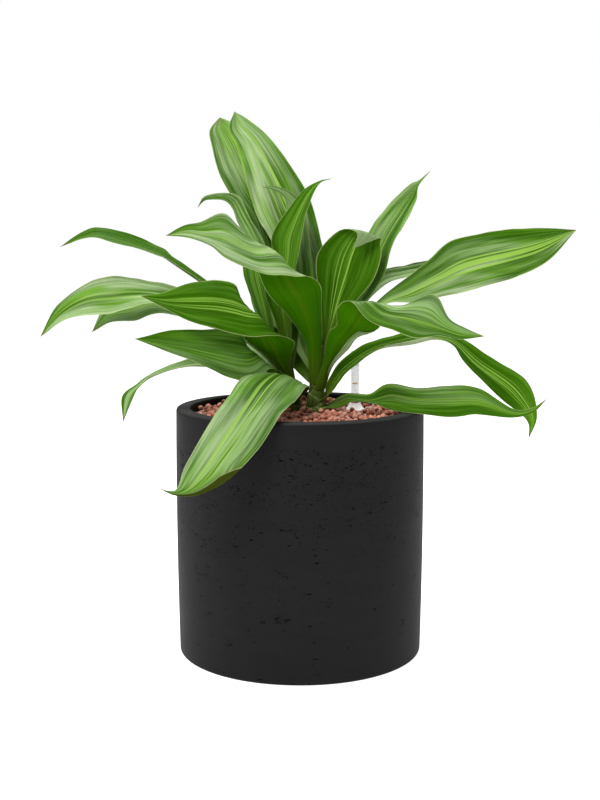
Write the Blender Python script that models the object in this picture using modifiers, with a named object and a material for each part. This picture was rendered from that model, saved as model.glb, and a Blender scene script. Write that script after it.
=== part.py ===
"""A corn plant of two leafy canes in a round fibre-clay planter of clay pebbles, with a float gauge.

Blender 4.5, metres, +Z up. The origin is the centre of the planter's foot, and Z is the planter's axis.
"""

import math

import bmesh
import bpy
import numpy as np
from mathutils import Vector, geometry

MM = 0.001
GAP = 0.3 * MM                     # clearance between pieces that touch
MERGE = 0.01 * MM
ROUND_STEPS = 64                   # sides of the planter and the bed
SMALL_STEPS = 24                   # sides of the gauge and the canes

# Planter
POT_RADIUS = 125 * MM              # outer, at the rim
POT_FOOT_RADIUS = 123.25 * MM
POT_HEIGHT = 250 * MM
POT_WALL = 14 * MM                 # width of the flat rim
POT_FLOOR = 12 * MM
POT_EDGE = 3 * MM                  # rounding of the rim's outer edge and of the foot
POT_LIP = 1.5 * MM                 # rounding of the rim's inner edge

# Bed of clay pebbles, larger than life in this relief
BED_RADIUS = POT_RADIUS - POT_WALL - GAP
BED_LEVEL = 240.5 * MM             # the hollows between the pebbles
PEBBLE_PITCH = 12.5 * MM
PEBBLE_RISE = 3.4 * MM
PEBBLE_TOP = 0.27                  # radius of a pebble's flat top, as a share of the pitch
PEBBLE_SHIFT = 0.16                # random shift of a pebble, as a share of the pitch
BED_SEED = 11

# Canes: where each axis crosses CANE_LEVEL, and the way it leans
CANE_LEVEL = 240 * MM
CANES = {
    "a": (Vector((-7 * MM, 22 * MM, CANE_LEVEL)), Vector((-7, 0, 60))),
    "b": (Vector((16 * MM, 14 * MM, CANE_LEVEL)), Vector((2, 0, 60))),
}
CANE_FOOT = 216 * MM
CANE_PROFILE = ((316, 3.0), (290, 6.0), (262, 8.5), (240, 9.5))   # height and radius in millimetres
CANE_SLACK = 0.5 * MM              # between a cane and its hole in the bed

# Float gauge beside the canes
GAUGE_X = 57.3 * MM
GAUGE_Y = 34 * MM
TUBE_RADIUS = 4.9 * MM
TUBE_BORE = 4.0 * MM
TUBE_TOP = 302.7 * MM
TUBE_FOOT = 30 * MM
TUBE_CAP = 1.2 * MM
TUBE_STOP = 2 * MM                 # height of the lip that the float rests on, and the lip's bore radius
SKIRT_RADIUS = 11 * MM
SKIRT_TOP = 249 * MM
SKIRT_SHOULDER = 242 * MM
SKIRT_SEAT = 236 * MM
SKIRT_COLLAR = 6 * MM
FLOAT_RADIUS = 3.2 * MM
FLOAT_ROD = 1.0 * MM
FLOAT_LENGTH = 60 * MM
TIP_TOP = 251.3 * MM
TIP_LENGTH = 12 * MM

# Leaves
BLADE = 0.9 * MM                   # thickness
BASE_GAP = 0.6                     # millimetres between a cane and the leaves that clasp it
BASE_WRAP = math.radians(46)       # how far a leaf's foot goes round the cane to each side
CLASP = 22                         # millimetres over which a blade turns from the cane to its own way
COLUMNS = (-1, -0.5, 0, 0.5, 1)    # right margin, right half, midrib, left half, left margin
ROW_PITCH = 19                     # millimetres of midrib from row to row
LEAST_ROWS = 9
TIP_HALF_WIDTH = 1.0
WAVE = 0.07                        # margin wave, as a share of the half width
WAVE_LENGTH = 62                   # millimetres
WAVE_START = 30
WAVE_FADE = 40

# A leaf is its name, its cane, the height and the compass angle of its foot on the cane, and its
# stations from foot to tip. A station holds the midrib's x, y and z, the half width as a vector to the
# left margin, and the fold: the midrib's depth below the margins, in per cent of the half width.
# The last station is the tip. Lengths are in millimetres and angles in degrees.
LEAVES = (
    # Upright at the back
    ("back_tall", "b", 290, 92, (
        (14, 29, 330, -10, 0, 0, 50), (12, 38, 372, -18, 0, -1, 40), (-3, 52, 414, -26, 0, 1, 22),
        (-20, 66, 457, -27, 0, -10, 12), (-48, 92, 517, -18, 0, -5, 15),
        (-64, 101, 538, -12, 0, -4, 20), (-70, 106, 553))),
    ("back_left", "a", 283, 92, (
        (-13, 42, 340, -12, 0, -4, 45), (-34, 76, 441, -19, 0, -8, 25), (-51, 96, 472, -22, 0, -9, 15),
        (-65, 112, 500, -23, 0, -10, 12), (-78, 124, 527, -18, 0, -7, 15),
        (-86, 131, 540, -12, 0, -4, 20), (-88, 138, 550))),
    ("curled_back", "a", 299, 118, (
        (-16, 35, 340, -6, 3, -2, 50), (-46, 50, 413, -7, 14, -3, 30), (-60, 60, 440, -7, 14, -3, 30),
        (-72, 67, 460, -5, 9, -3, 30), (-98, 75, 461, 0, 4, -2, 30), (-108, 77, 451))),
    ("left_upright", "a", 292, 160, (
        (-30, 30, 322, -4, -3, 0, 50), (-45, 42, 369, -10, 6, -2, 30), (-50, 51, 393, -10, 6, -2, 25),
        (-56, 58, 409, -6, 4, -2, 20), (-59, 62, 416))),
    # Young leaves in the middle
    ("centre_tip", "a", 305, 50, (
        (-18, 24, 336, -8, 1, 0, 50), (-22, 18, 364, -14, 4, 2, 35), (-16, 12, 398, -13, 10, 2, 30),
        (-13, 8, 422, -14, 10, 2, 30), (4, 0, 458, -6, 6, 3, 30), (18, -4, 473, -1, 1, 1, 20),
        (31, -5, 477))),
    ("young_curl", "b", 304, 112, (
        (2, 23, 338, -10, 0, 0, 50), (-2, 30, 382, -15, 6, 0, 30), (-4, 34, 415, -14, 8, 0, 25),
        (-4, 36, 445, -10, 6, -1, 25), (-11, 34, 461, -5, 4, -2, 25), (-25, 30, 469, -1, 2, -2, 20),
        (-38, 26, 470))),
    ("centre_cup", "b", 308, 350, (
        (30, 9, 328, -7, 0, 0, 50), (37, 14, 355, -17, 0, 3, 40), (45, 18, 383, -29, 0, 7, 30),
        (51, 22, 403, -31, 0, 4, 25), (59, 25, 419, -23, 0, 5, 20), (66, 22, 423, -16, -2, 5, 10),
        (64, 13, 419, -6, -2, 4, 0), (53, 10, 408))),
    # To the right
    ("right_upright", "b", 300, 25, (
        (38, 24, 330, -6, 4, 2, 50), (63, 34, 366, -11, 4, 4, 40), (72, 40, 389, -14, 8, 7, 35),
        (82, 48, 415, -12, 10, 7, 30), (94, 56, 436, -12, 10, 6, 30), (117, 69, 465, -4, 4, 8, 30),
        (124, 73, 476, 0, 2, 3, 20), (137, 77, 489))),
    ("right_long", "b", 275, 0, (
        (43, 8, 316, -3, 5, 3, 50), (81, 22, 353, -2, 6, 2, 50), (113, 28, 366, -4, 6, 12, 35),
        (142, 30, 380, -7, 8, 19, 20), (174, 30, 394, -11, 8, 25, 12), (238, 26, 410, -7, 6, 19, 15),
        (280, 22, 427))),
    ("right_behind", "b", 286, 57, (
        (40, 38, 322, -5, 5, 3, 50), (78, 62, 370, -2, 8, 6, 40), (111, 86, 384, -2, 12, 6, 30),
        (178, 120, 392, 0, 8, 5, 20), (208, 130, 394))),
    ("right_fold", "b", 266, 300, (
        (28, -6, 293, 5, 0, -2, 50), (38, -20, 317, 10, 4, -8, 45), (47, -31, 329, 11, 4, -6, 30),
        (56, -42, 341, 20, 3, -11, 20), (66, -58, 355, 18, 5, -3, -20), (83, -72, 350, 19, 4, 7, 0),
        (103, -84, 349, 16, 2, 16, 10), (118, -94, 345, 10, 0, 19, 12), (133, -101, 337, 5, 0, 8, 15),
        (150, -107, 331, 3, 0, 5, 20), (169, -111, 329))),
    ("right_droop", "b", 254, 324, (
        (29, 0, 267, -3, 4, 2, 50), (35, -4, 278, -4, 4, 3, 50), (46, -8, 293, -4, 7, 4, 50),
        (72, -19, 312, -4, 9, 3, 40), (101, -28, 320, -6, 10, 4, 30), (128, -36, 325, -2, 10, 4, 30),
        (151, -44, 320, 3, 7, 4, 30), (173, -51, 300, 10, 6, 5, 25), (206, -59, 274, 12, 2, 9, 20),
        (224, -61, 247, 5, 0, 3, 20), (222, -58, 225))),
    ("right_low", "b", 248, 340, (
        (36, -2, 252, -3, 4, 3, 50), (50, -13, 260, -3, 6, 3, 50), (70, -26, 261, -2, 9, 4, 45),
        (89, -38, 264, -2, 8, 12, 35), (114, -52, 262, -1, 8, 12, 30), (144, -64, 263, -1, 8, 14, 30),
        (170, -74, 264, 2, 6, 12, 25), (202, -82, 254, 0, 2, 4, 20), (220, -84, 257, -1, 0, 2, 20),
        (233, -86, 268))),
    # To the front
    ("front_fold", "b", 272, 250, (
        (14, 0, 313, 8, 0, 0, 50), (5, -14, 347, 16, 0, 6, 30), (-8, -30, 373, 26, 0, 3, 10),
        (-28, -40, 398, 21, -10, -14, -35), (-48, -47, 408, 10, -6, -22, 0),
        (-71, -51, 420, 3, -8, -22, 12), (-90, -53, 423, 5, -6, -11, 20),
        (-109, -53, 425, 2, -3, -6, 25), (-128, -51, 421))),
    ("front_droop", "a", 250, 280, (
        (-6, 2, 260, 7, 0, -1, 50), (-8, -18, 271, 16, 0, -3, 20), (-14, -48, 283, 23, 0, -7, -15),
        (-28, -86, 279, 28, 0, -7, -10), (-45, -128, 262, 26, 0, -6, 8),
        (-62, -150, 238, 24, 0, -8, 12), (-82, -164, 212, 20, 0, -5, 15),
        (-98, -170, 197, 10, 0, -3, 20), (-112, -172, 195, 3, 0, -2, 20), (-126, -172, 200))),
    # To the left
    ("left_fold", "a", 274, 260, (
        (-16, 6, 288, 6, 0, 1, 50), (-23, -6, 303, 14, 0, 0, 40), (-30, -26, 320, 24, 0, -1, 10),
        (-44, -40, 337, 17, -8, -13, -35), (-56, -49, 349, 7, -6, -24, 0),
        (-78, -55, 355, 4, -8, -24, 10), (-105, -60, 357, 3, -8, -18, 15),
        (-128, -64, 359, 3, -4, -8, 20), (-151, -66, 364))),
    ("left_low", "a", 258, 235, (
        (-20, 4, 278, 6, -3, 1, 50), (-32, -12, 290, 12, -3, -3, 30), (-44, -28, 302, 14, -6, -11, -20),
        (-58, -45, 305, 4, -7, -24, 0), (-114, -63, 318, 5, -6, -13, 15), (-156, -76, 324))),
    ("left_far", "b", 273, 156, (
        (-2, 40, 292, -5, -6, -6, 50), (-40, 54, 331, -3, -5, -3, 50), (-126, 50, 393, -1, -8, -1, 40),
        (-149, 50, 407, -2, -11, -4, 30), (-203, 50, 424, 0, -11, -6, 20),
        (-225, 50, 422, 0, -7, -4, 20), (-249, 50, 410))),
    ("left_big", "a", 284, 208, (
        (-30, 11, 304, -2, -5, -3, 50), (-64, 8, 340, -3, -8, -7, 40), (-108, 0, 357, -1, -14, -7, 30),
        (-146, -6, 365, -3, -14, -9, 20), (-182, -11, 363, -3, -12, -18, 12),
        (-213, -15, 359, 0, -10, -15, 15), (-238, -18, 345, 3, -6, -8, 20), (-257, -21, 322))),
    ("left_under", "a", 278, 158, (
        (-28, 27, 296, -2, -6, -4, 50), (-65, 33, 326, -1, -8, -8, 40),
        (-141, 33, 353, 3, -10, -11, 20), (-173, 31, 348, 3, -8, -13, 15),
        (-197, 29, 342, 3, -6, -9, 20), (-214, 27, 323))),
    ("left_thin", "a", 267, 160, (
        (-26, 27, 277, -2, -6, -4, 50), (-50, 28, 288, -1, -7, -3, 40), (-96, 24, 293, 2, -8, -5, 35),
        (-125, 18, 290, 3, -8, -1, 30), (-152, 12, 281, 2, -8, 0, 30), (-165, 8, 270, 2, -4, -1, 20),
        (-175, 5, 259, 6, -1, 0, 20), (-180, 2, 233))),
    # To the rear
    ("rear_left", "a", 258, 88, (
        (-14, 44, 274, -6, -2, 1, 50), (-22, 84, 322, -15, -3, 1, 30), (-31, 140, 356, -21, -4, 0, 15),
        (-38, 190, 352, -19, -4, 0, 15), (-43, 226, 334, -11, -3, 0, 20), (-45, 246, 312))),
    ("rear_right", "b", 263, 68, (
        (20, 38, 296, -7, 1, 0, 50), (25, 84, 340, -16, 2, 1, 30), (29, 142, 362, -23, 2, 0, 15),
        (32, 196, 354, -21, 2, 0, 15), (34, 236, 330, -11, 1, 0, 20), (35, 254, 308))),
    ("rear_upper", "b", 281, 104, (
        (-1, 47, 320, -10, -2, 0, 40), (-4, 80, 374, -14, -3, 2, 30), (-6, 124, 405, -20, -3, 0, 15),
        (-11, 174, 410, -16, -3, 0, 15), (-14, 210, 394, -8, -2, 0, 20), (-16, 230, 376))),
    ("rear_low", "a", 250, 150, (
        (-26, 44, 277, -5, -5, 2, 50), (-50, 76, 302, -11, -9, 4, 30), (-76, 108, 310, -15, -11, 4, 15),
        (-98, 140, 299, -10, -8, 2, 20), (-112, 160, 282))),
)


def clear_scene():
    """Remove what the opened file holds."""
    for obj in list(bpy.data.objects):
        bpy.data.objects.remove(obj, do_unlink=True)


def collection(name):
    """A new collection in the scene."""
    made = bpy.data.collections.new(name)
    bpy.context.scene.collection.children.link(made)
    return made


def material(name, colour, roughness):
    """A Principled material of one colour."""
    made = bpy.data.materials.new(name)
    made.use_nodes = True
    made.diffuse_color = (*colour, 1)
    shader = made.node_tree.nodes["Principled BSDF"]
    shader.inputs["Base Color"].default_value = (*colour, 1)
    shader.inputs["Roughness"].default_value = roughness
    return made


def add_object(name, mesh, home, paint=None):
    """Put a mesh in the scene as an object of the given collection."""
    made = bpy.data.objects.new(name, mesh)
    home.objects.link(made)
    if paint:
        mesh.materials.append(paint)
    return made


def arc(x, z, radius, start, end, count):
    """Points of an arc about (x, z), from one angle in degrees to another."""
    angles = np.radians(np.linspace(start, end, count))
    return [(x + radius * math.cos(a), z + radius * math.sin(a)) for a in angles]


def turned(name, profile, steps, home, paint=None, closed=False):
    """A turned piece: a profile of (radius, z) at +X, down its outer side, with a Screw modifier."""
    last = len(profile) - 1
    edges = [(i, i + 1) for i in range(last)]
    if closed:
        edges.append((last, 0))
    mesh = bpy.data.meshes.new(name)
    mesh.from_pydata([(x, 0, z) for x, z in profile], edges, [])
    made = add_object(name, mesh, home, paint)
    screw = made.modifiers.new("Turn", "SCREW")
    screw.steps = screw.render_steps = steps
    screw.use_merge_vertices = True
    screw.merge_threshold = MERGE
    screw.use_smooth_shade = True
    return made


def make_cutter(obj):
    """Keep an object out of renders and show it as a wire frame."""
    obj.hide_render = True
    obj.display_type = "WIRE"
    return obj


def build_pot(home, paint):
    """The planter: a straight wall under a flat rim with rounded edges, and a flat floor."""
    bore = POT_RADIUS - POT_WALL
    profile = [(0, POT_FLOOR), (bore, POT_FLOOR)]
    profile += arc(bore + POT_LIP, POT_HEIGHT - POT_LIP, POT_LIP, 180, 90, 3)
    profile += arc(POT_RADIUS - POT_EDGE, POT_HEIGHT - POT_EDGE, POT_EDGE, 90, 0, 4)
    profile += arc(POT_FOOT_RADIUS - POT_EDGE, POT_EDGE, POT_EDGE, 0, -90, 3)
    profile += [(0, 0)]
    return turned("pot", profile, ROUND_STEPS, home, paint)


def pebble_sites(rng):
    """Centres of the pebbles: a hexagonal lattice, each point shifted a little at random."""
    reach = math.ceil(BED_RADIUS / PEBBLE_PITCH) + 1
    sites = {}
    for j in range(-reach, reach + 1):
        for i in range(-2 * reach, 2 * reach + 1):
            x = (i + j / 2) * PEBBLE_PITCH
            y = j * PEBBLE_PITCH * math.sqrt(3) / 2
            shift = rng.uniform(-PEBBLE_SHIFT, PEBBLE_SHIFT, 2) * PEBBLE_PITCH
            if math.hypot(x, y) < BED_RADIUS - 0.55 * PEBBLE_PITCH:
                sites[i, j] = np.array((x, y)) + shift
    return sites


def bed_points():
    """Points of the bed's top: three round each pebble's top, the hollows between, and the edge."""
    rng = np.random.default_rng(BED_SEED)
    sites = pebble_sites(rng)
    points = []
    for x, y in sites.values():
        turn = rng.uniform(0, math.tau)
        top = BED_LEVEL + PEBBLE_RISE * rng.uniform(0.7, 1.1)
        radius = PEBBLE_TOP * PEBBLE_PITCH
        for corner in range(3):
            angle = turn + corner * math.tau / 3
            tip = top + rng.uniform(-0.2, 0.2) * PEBBLE_RISE
            points.append((x + radius * math.cos(angle), y + radius * math.sin(angle), tip))
    for i, j in sites:
        for cell in (((i, j), (i + 1, j), (i, j + 1)), ((i, j), (i, j - 1), (i + 1, j - 1))):
            if all(key in sites for key in cell):
                x, y = sum(sites[key] for key in cell) / 3
                points.append((x, y, BED_LEVEL))
    for step in range(ROUND_STEPS):
        angle = step * math.tau / ROUND_STEPS
        points.append((BED_RADIUS * math.cos(angle), BED_RADIUS * math.sin(angle), BED_LEVEL))
    return points


def build_bed(home, paint, cutters):
    """The clay pebbles as one solid: a pebbled top, a wall along the planter, and holes for the stems."""
    points = bed_points()
    flat = [Vector(point[:2]) for point in points]
    corners, _, faces, origins, _, _ = geometry.delaunay_2d_cdt(flat, [], [], 0, 1e-7)
    bm = bmesh.new()
    verts = [bm.verts.new((co.x, co.y, points[origin[0]][2])) for co, origin in zip(corners, origins)]
    for face in faces:
        bm.faces.new([verts[index] for index in face])
    edge = [item for item in bm.edges if item.is_boundary]
    wall = bmesh.ops.extrude_edge_only(bm, edges=edge)["geom"]
    for item in wall:
        if isinstance(item, bmesh.types.BMVert):
            item.co.z = POT_FLOOR + GAP
    foot = [item for item in bm.edges if item.is_boundary]
    bmesh.ops.holes_fill(bm, edges=foot, sides=0)
    bmesh.ops.recalc_face_normals(bm, faces=bm.faces)
    mesh = bpy.data.meshes.new("pebble_bed")
    bm.to_mesh(mesh)
    bm.free()
    bed = add_object("pebble_bed", mesh, home, paint)
    for cutter in cutters:
        hole = bed.modifiers.new(cutter.name, "BOOLEAN")
        hole.operation = "DIFFERENCE"
        hole.solver = "EXACT"
        hole.object = cutter
    return bed


def place_on_cane(obj, cane):
    """Stand a piece that is turned about Z on a cane's axis."""
    foot, way = CANES[cane]
    obj.location = foot
    obj.rotation_euler = way.to_track_quat("Z", "Y").to_euler()
    return obj


def build_cane(cane, home, paint):
    """A cane: round, narrowing through the crown, rooted in the bed."""
    profile = [(0, CANE_PROFILE[0][0] * MM - CANE_LEVEL)]
    profile += [(radius * MM, height * MM - CANE_LEVEL) for height, radius in CANE_PROFILE]
    profile += [(profile[-1][0], CANE_FOOT - CANE_LEVEL), (0, CANE_FOOT - CANE_LEVEL)]
    return place_on_cane(turned(f"cane_{cane}", profile, SMALL_STEPS, home, paint), cane)


def cane_hole(cane, home):
    """The blind hole that a cane stands in."""
    radius = CANE_PROFILE[-1][1] * MM + CANE_SLACK
    top = POT_HEIGHT - CANE_LEVEL
    foot = CANE_FOOT - CANE_LEVEL - GAP
    profile = [(0, top), (radius, top), (radius, foot), (0, foot)]
    return make_cutter(place_on_cane(turned(f"hole_{cane}", profile, SMALL_STEPS, home), cane))


def gauge_hole(home, parent):
    """The blind hole of the gauge's tube, with the wider seat of its skirt."""
    seat = SKIRT_RADIUS + GAP
    bore = TUBE_RADIUS + GAP
    foot = TUBE_FOOT - GAP
    profile = [(0, POT_HEIGHT), (seat, POT_HEIGHT), (seat, SKIRT_SEAT), (bore, SKIRT_SEAT), (bore, foot),
               (0, foot)]
    hole = turned("hole_gauge", profile, SMALL_STEPS, home)
    hole.parent = parent
    return make_cutter(hole)


def build_gauge(home, parent, paints):
    """The gauge: a capped clear tube, the skirt that holds it upright, and the float that slides in it."""
    tube = [(0, TUBE_TOP), (TUBE_RADIUS, TUBE_TOP), (TUBE_RADIUS, TUBE_FOOT), (TUBE_STOP, TUBE_FOOT),
            (TUBE_STOP, TUBE_FOOT + TUBE_STOP), (TUBE_BORE, TUBE_FOOT + TUBE_STOP),
            (TUBE_BORE, TUBE_TOP - TUBE_CAP), (0, TUBE_TOP - TUBE_CAP)]
    bore = TUBE_RADIUS + GAP
    collar_foot = SKIRT_TOP - 2 * MM
    skirt = [(bore, SKIRT_TOP), (SKIRT_COLLAR, SKIRT_TOP), (SKIRT_COLLAR, collar_foot),
             (SKIRT_RADIUS, SKIRT_SHOULDER), (SKIRT_RADIUS, SKIRT_SEAT + GAP), (bore, SKIRT_SEAT + GAP)]
    foot = TUBE_FOOT + TUBE_STOP + GAP
    tip_foot = TIP_TOP - TIP_LENGTH
    chamfer = FLOAT_RADIUS / 4
    slider = [(0, TIP_TOP), (FLOAT_RADIUS - chamfer, TIP_TOP), (FLOAT_RADIUS, TIP_TOP - chamfer),
              (FLOAT_RADIUS, tip_foot), (FLOAT_ROD, tip_foot), (FLOAT_ROD, foot + FLOAT_LENGTH),
              (FLOAT_RADIUS, foot + FLOAT_LENGTH), (FLOAT_RADIUS, foot), (0, foot)]
    pieces = [turned("gauge_tube", tube, SMALL_STEPS, home, paints["clear"]),
              turned("gauge_skirt", skirt, SMALL_STEPS, home, paints["skirt"], closed=True),
              turned("gauge_float", slider, SMALL_STEPS // 2, home, paints["float"])]
    for piece in pieces:
        piece.parent = parent
    return pieces


def leaf_foot(cane, height, azimuth):
    """The first station of a leaf: the middle and the half width of the arc that clasps the cane."""
    axis_point, way = CANES[cane]
    heights, radii = zip(*reversed(CANE_PROFILE))
    radius = float(np.interp(height, heights, radii)) + BASE_GAP
    centre = axis_point / MM + way * ((height - CANE_LEVEL / MM) / way.z)
    out = Vector((math.cos(azimuth), math.sin(azimuth), 0))
    across = Vector((-out.y, out.x, 0))
    middle = centre + out * radius * math.cos(BASE_WRAP)
    half = across * radius * math.sin(BASE_WRAP)
    return (*middle, *half, 100 * math.tan(BASE_WRAP / 2))


def leaf_stations(cane, height, azimuth, stations):
    """All stations of a leaf: its foot, the listed ones, and the tip in the width of TIP_HALF_WIDTH."""
    last = stations[-2]
    narrow = Vector(last[3:6]).normalized() * TIP_HALF_WIDTH
    tip = (*stations[-1], *narrow, last[6])
    return np.array([leaf_foot(cane, height, azimuth), *stations[:-1], tip], float)


def smooth_stations(stations, dense=16):
    """A Catmull-Rom curve through the stations, and the length of midrib up to each of its points."""
    ends = [2 * stations[0] - stations[1], *stations, 2 * stations[-1] - stations[-2]]
    s = np.linspace(0, 1, dense, endpoint=False)[:, None]
    spans = []
    for before, start, end, after in zip(ends, ends[1:], ends[2:], ends[3:]):
        spans.append(start + (end - before) * s / 2
                     + (2 * before - 5 * start + 4 * end - after) * s**2 / 2
                     + (after - before - 3 * end + 3 * start) * s**3 / 2)
    curve = np.vstack([*spans, stations[-1:]])
    steps = np.linalg.norm(np.diff(curve[:, :3], axis=0), axis=1)
    return curve, np.concatenate(([0], np.cumsum(steps)))


def unit(vectors):
    """Rows of vectors at length one."""
    return vectors / np.linalg.norm(vectors, axis=-1, keepdims=True)


def leaf_points(name, cane, height, azimuth, stations):
    """Points of a leaf's upper face in millimetres, as rows from foot to tip and columns from right to left.

    Each point lies on the half-width vector, below it by the fold and off it by the margin's wave. At
    the foot the fold follows the cane, and further out it is a channel along the midrib.
    """
    curve, along = smooth_stations(leaf_stations(cane, height, azimuth, stations))
    length = along[-1]
    rows = max(LEAST_ROWS, round(length / ROW_PITCH) + 2)
    s = np.linspace(0, length, rows)
    read = np.stack([np.interp(s, along, column) for column in curve.T], axis=1)
    midrib, half, fold = read[:, :3], read[:, 3:6], read[:, 6] / 100
    width = np.linalg.norm(half, axis=1)
    inward = -np.array((math.cos(azimuth), math.sin(azimuth), 0))
    clasp = np.clip(1 - s / CLASP, 0, 1)[:, None]
    up = unit(np.cross(unit(np.gradient(midrib, axis=0)), half))
    up = unit((1 - clasp) * up + clasp * inward)
    u = np.array(COLUMNS)
    power = 1.35 + 0.65 * np.clip(1 - s / length / 0.15, 0, 1)
    rise = -(fold * width)[:, None] * (1 - np.abs(u) ** power[:, None])
    fade = np.clip((s - WAVE_START) / WAVE_FADE, 0, 1)
    phase = 0.37 * sum(map(ord, name))
    swing = np.sin(math.tau * s[:, None] / WAVE_LENGTH + phase + 1.9 * (u > 0))
    rise += WAVE * (width * fade)[:, None] * np.abs(u) ** 3 * swing
    return midrib[:, None] + u[:, None] * half[:, None] + rise[..., None] * up[:, None]


def leaf_faces(rows):
    """Triangles of a leaf's grid, mirrored at the midrib, with the upper face outward."""
    columns = len(COLUMNS)
    faces = []
    for i in range(rows - 1):
        for j in range(columns - 1):
            a = i * columns + j
            b, c, d = a + 1, a + columns + 1, a + columns
            if j < columns // 2:
                faces += [(a, c, b), (a, d, c)]
            else:
                faces += [(a, d, b), (b, d, c)]
    return faces


def build_leaf(leaf, home, paint, parent):
    """One leaf: the grid of its upper face with Solidify, its origin at its foot."""
    name, cane, height, azimuth, stations = leaf
    points = leaf_points(name, cane, height, math.radians(azimuth), stations)
    foot = points[0, len(COLUMNS) // 2]
    mesh = bpy.data.meshes.new(f"leaf_{name}")
    mesh.from_pydata((points - foot).reshape(-1, 3) * MM, [], leaf_faces(len(points)))
    mesh.shade_smooth()
    made = add_object(f"leaf_{name}", mesh, home, paint)
    made.location = foot * MM
    made.parent = parent
    blade = made.modifiers.new("Blade", "SOLIDIFY")
    blade.thickness = BLADE
    blade.offset = -1
    return made


def empty(name, home, location=(0, 0, 0)):
    """An empty that carries pieces."""
    made = add_object(name, None, home)
    made.location = location
    return made


def main():
    clear_scene()
    home = collection("potted_corn_plant")
    cutters = collection("cutters")
    plant = empty("plant", home)
    gauge = empty("gauge", home, (GAUGE_X, GAUGE_Y, 0))
    leaf_green = material("leaf_green", (0.10, 0.25, 0.04), 0.4)
    cane_bark = material("cane_bark", (0.20, 0.22, 0.09), 0.7)
    gauge_paints = {
        "clear": material("gauge_clear", (0.80, 0.82, 0.82), 0.15),
        "skirt": material("gauge_skirt", (0.75, 0.78, 0.78), 0.3),
        "float": material("float_red", (0.55, 0.03, 0.03), 0.4),
    }
    build_pot(home, material("fibre_clay", (0.028, 0.028, 0.029), 0.8))
    holes = [cane_hole(cane, cutters) for cane in CANES] + [gauge_hole(cutters, gauge)]
    build_bed(home, material("clay_pebbles", (0.30, 0.12, 0.08), 0.9), holes)
    for cane in CANES:
        build_cane(cane, home, cane_bark).parent = plant
    for leaf in LEAVES:
        build_leaf(leaf, home, leaf_green, plant)
    build_gauge(home, gauge, gauge_paints)


main()
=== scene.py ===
"""The looks of a corn plant in a fibre-clay planter: striped blades, clay pebbles and a float gauge."""

import math

import bpy
import numpy as np
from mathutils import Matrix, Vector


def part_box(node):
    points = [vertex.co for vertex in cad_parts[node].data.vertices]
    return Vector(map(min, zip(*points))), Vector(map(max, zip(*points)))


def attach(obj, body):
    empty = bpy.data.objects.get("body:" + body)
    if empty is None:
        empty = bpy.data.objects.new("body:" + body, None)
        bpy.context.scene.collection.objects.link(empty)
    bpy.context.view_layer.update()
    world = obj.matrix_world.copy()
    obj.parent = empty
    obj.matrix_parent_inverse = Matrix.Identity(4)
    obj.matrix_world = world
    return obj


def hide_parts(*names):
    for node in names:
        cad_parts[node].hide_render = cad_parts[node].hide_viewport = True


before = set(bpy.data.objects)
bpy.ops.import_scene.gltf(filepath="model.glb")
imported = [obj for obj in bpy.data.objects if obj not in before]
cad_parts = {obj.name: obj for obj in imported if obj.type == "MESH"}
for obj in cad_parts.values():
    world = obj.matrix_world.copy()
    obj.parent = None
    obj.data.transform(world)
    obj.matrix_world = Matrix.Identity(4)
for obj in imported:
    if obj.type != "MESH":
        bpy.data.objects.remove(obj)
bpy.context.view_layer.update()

MM = 0.001
BODY = "planter"
FLOAT_BODY = "float"

# Camera, at the photograph's place
CAMERA_PLACE = (0.0, -1.2529, 0.415)
CAMERA_TILT = math.radians(7.23)
CAMERA_LENS = 56.08                # millimetres, on a 36 mm sensor along the longer side

# Sizes of the CAD pieces that this script dresses
POT_RADIUS, _, POT_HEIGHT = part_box("pot")[1]
POT_FOOT_RADIUS = POT_RADIUS - 1.3 * MM
POT_BELLY = 1.1 * MM                # how far the side swells between rim and foot
POT_WALL = 14 * MM
POT_FLOOR = 12 * MM
BED_RADIUS = POT_RADIUS - POT_WALL - 0.4 * MM
BED_LEVEL = 240.5 * MM
GAUGE_LOW, GAUGE_HIGH = (np.array(corner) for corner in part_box("gauge_tube"))
GAUGE_AXIS = (GAUGE_LOW + GAUGE_HIGH)[:2] / 2
TUBE_RADIUS = (GAUGE_HIGH - GAUGE_LOW)[0] / 2
TUBE_BORE = TUBE_RADIUS - 0.9 * MM
TUBE_TOP = GAUGE_HIGH[2]
TUBE_FOOT = GAUGE_LOW[2]
TIP_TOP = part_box("gauge_float")[1][2]
SCALE_BARS = (269.6 * MM, 288.8 * MM)
AXIS = 0.02 * MM                    # radius of the fine hole that a turned piece has at its axis

# Fibre-clay: heights where the pits end below the smooth band, and where the painted highlight on the rim's
# top starts
PIT_LIMIT = (0.2265, 0.2240)
RIM_TOP_HIGHLIGHT = (0.2478, 0.2494)
# Kinds of pit: cells in a metre, the largest pit as a share of a cell, and the chance from which it is one
PITS = ((100, 0.28, 1.36), (210, 0.34, 1.18), (300, 0.38, 0.96))

# Layers of loose pebbles, in millimetres: the seed of their places, the pitch, the height above the bed's
# level, the smallest and the largest radius, and the share that is kept. Then the rings and the segments
# of a pebble, and the depth that shades the layer, in pebble radii.
PEBBLE_LAYERS = {
    "top_pebbles": ((5, 6.0, 4.2, 2.4, 3.1, 0.23), 7, 12, -0.25),
    "clay_pebbles": ((4, 5.4, 0.6, 2.3, 2.9, 0.85), 5, 9, 0.05),
    "lower_pebbles": ((6, 6.0, -2.4, 2.6, 3.3, 1.0), 3, 6, 0.8),
}
PEBBLE_STRAY = 0.9                  # how far a pebble strays from its place on the grid
PEBBLE_STEP = 1.3                   # and from its level
CANE_CLEAR = 9.6                    # radii about a cane and the gauge that pebbles sink into only a little
GAUGE_CLEAR = 11.2
PEBBLE_SINK = 0.7                   # share of a pebble's radius that stays out of those

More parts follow.
